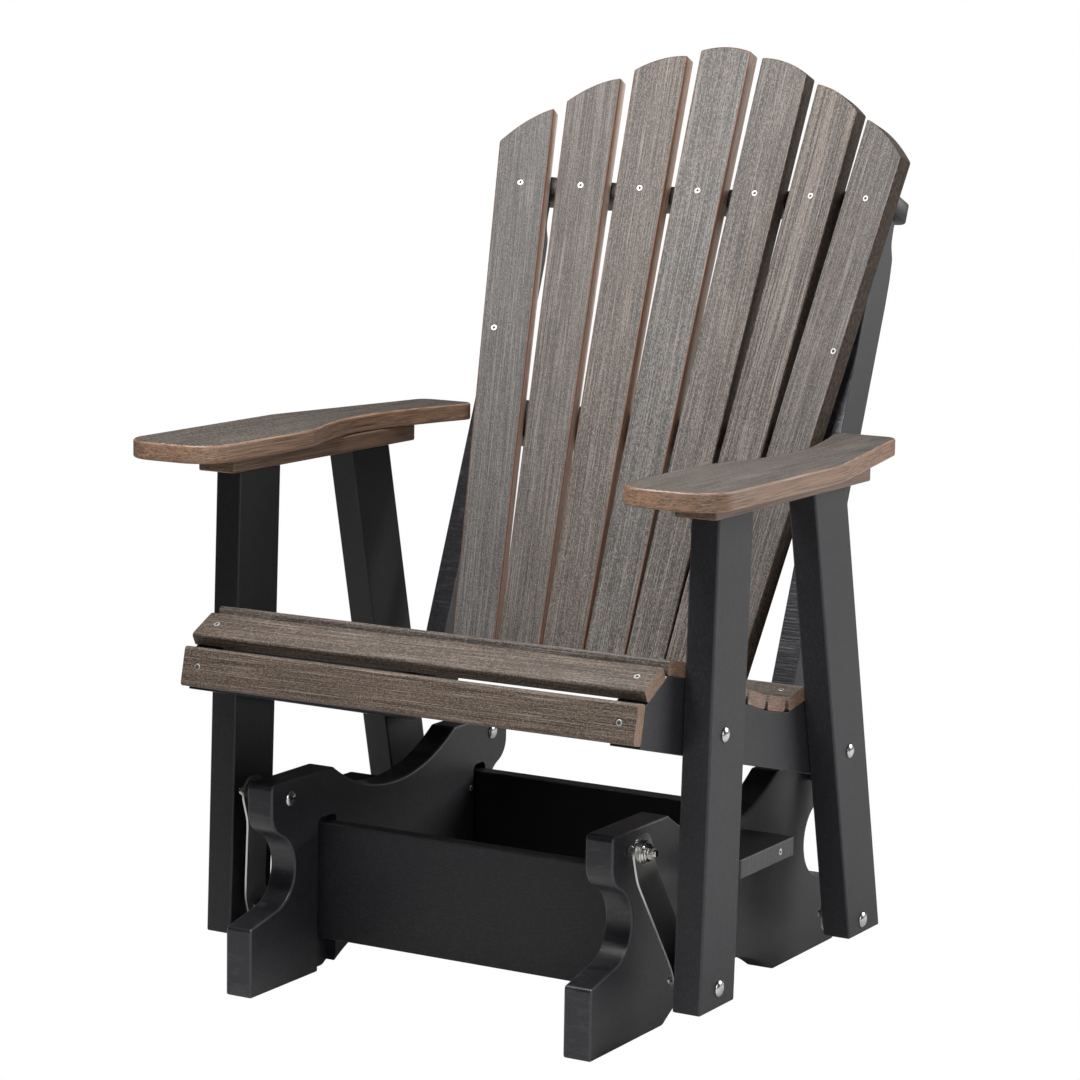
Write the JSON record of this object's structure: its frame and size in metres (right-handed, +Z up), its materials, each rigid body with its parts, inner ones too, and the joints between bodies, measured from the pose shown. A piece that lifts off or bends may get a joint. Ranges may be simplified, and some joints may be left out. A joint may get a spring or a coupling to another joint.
{
  "type": "adirondack glider",
  "caption": "Fan-back porch armchair of brown and black plastic lumber whose seat frame swings fore and aft on steel hangers from a low horned base",
  "frame": {"origin": "on the floor under the middle of the whole glider, at the centre of its bounding box in plan", "axes": "+X to the viewer's right seen from the front, -Y to the front, +Z up"},
  "size_m": [0.8332, 0.8372, 1.1745],
  "materials": {
    "black_lumber": "black recycled plastic lumber with a satin face and faint milling marks",
    "brown_lumber": "grey-brown recycled plastic lumber with an embossed streaky grain",
    "steel": "stainless steel straps, bolts, washers and nuts"
  },
  "bodies": {
    "base": {"base_left_side": "black_lumber", "base_right_side": "black_lumber", "base_front_board": "black_lumber", "base_rear_board": "black_lumber", "left_stop_board": "black_lumber", "right_stop_board": "black_lumber", "front_left_upper_pivot": "steel", "front_right_upper_pivot": "steel", "rear_left_upper_pivot": "steel", "rear_right_upper_pivot": "steel"},
    "front_left_hanger": {"front_left_hanger": "steel", "front_left_upper_bearing": "steel", "front_left_lower_bearing": "steel"},
    "front_right_hanger": {"front_right_hanger": "steel", "front_right_upper_bearing": "steel", "front_right_lower_bearing": "steel"},
    "rear_left_hanger": {"rear_left_hanger": "steel", "rear_left_upper_bearing": "steel"},
    "rear_right_hanger": {"rear_right_hanger": "steel", "rear_right_upper_bearing": "steel"},
    "seat_frame": {"front_left_leg": "black_lumber", "front_right_leg": "black_lumber", "rear_left_leg": "black_lumber", "rear_right_leg": "black_lumber", "left_seat_rail": "black_lumber", "right_seat_rail": "black_lumber", "apron_slat": "brown_lumber", "waterfall_slat": "brown_lumber", "seat_slat_1": "brown_lumber", "seat_slat_2": "brown_lumber", "seat_slat_3": "brown_lumber", "seat_slat_4": "brown_lumber", "seat_slat_5": "brown_lumber", "seat_slat_6": "brown_lumber", "seat_slat_7": "brown_lumber", "rear_seat_board": "black_lumber", "lower_back_rail": "black_lumber", "top_back_rail": "black_lumber", "left_back_upright": "black_lumber", "right_back_upright": "black_lumber", "back_slat_1": "brown_lumber", "back_slat_2": "brown_lumber", "back_slat_3": "brown_lumber", "back_slat_4": "brown_lumber", "back_slat_5": "brown_lumber", "back_slat_6": "brown_lumber", "back_slat_7": "brown_lumber", "left_arm_cleat": "brown_lumber", "right_arm_cleat": "brown_lumber", "left_arm": "brown_lumber", "right_arm": "brown_lumber", "front_left_rail_bolt": "steel", "front_right_rail_bolt": "steel", "rear_left_rail_bolt": "steel", "rear_right_rail_bolt": "steel", "front_left_lower_pivot": "steel", "front_right_lower_pivot": "steel", "rear_left_lower_pivot": "steel", "rear_right_lower_pivot": "steel"}
  },
  "joints": [
    {"name": "front_left_hanger_swing", "type": "hinge", "parent": "base", "child": "front_left_hanger", "pos_m": [-0.27927, -0.31808, 0.23965], "axis": [1, 0, 0], "range_deg": [-20, 16]},
    {"name": "front_right_hanger_swing", "type": "hinge", "parent": "base", "child": "front_right_hanger", "pos_m": [0.27927, -0.31808, 0.23965], "axis": [1, 0, 0], "range_deg": [-20, 16]},
    {"name": "rear_left_hanger_swing", "type": "hinge", "parent": "base", "child": "rear_left_hanger", "pos_m": [-0.27927, 0.17646, 0.23965], "axis": [1, 0, 0], "range_deg": [-19.2, 15.4]},
    {"name": "rear_right_hanger_swing", "type": "hinge", "parent": "base", "child": "rear_right_hanger", "pos_m": [0.27927, 0.17646, 0.23965], "axis": [1, 0, 0], "range_deg": [-19.2, 15.4]},
    {"name": "seat_frame_tilt", "type": "hinge", "parent": "front_left_hanger", "child": "seat_frame", "pos_m": [-0.30848, -0.26271, 0.07203], "axis": [1, 0, 0], "range_deg": [-19.4, 24.2]}
  ],
  "couplings": [
    {"joint": "front_right_hanger_swing", "follows": "front_left_hanger_swing", "ratio": 1},
    {"joint": "rear_left_hanger_swing", "follows": "front_left_hanger_swing", "ratio": 0.95754},
    {"joint": "rear_right_hanger_swing", "follows": "front_left_hanger_swing", "ratio": 0.95754},
    {"joint": "seat_frame_tilt", "follows": "front_left_hanger_swing", "ratio": -1.2075}
  ]
}
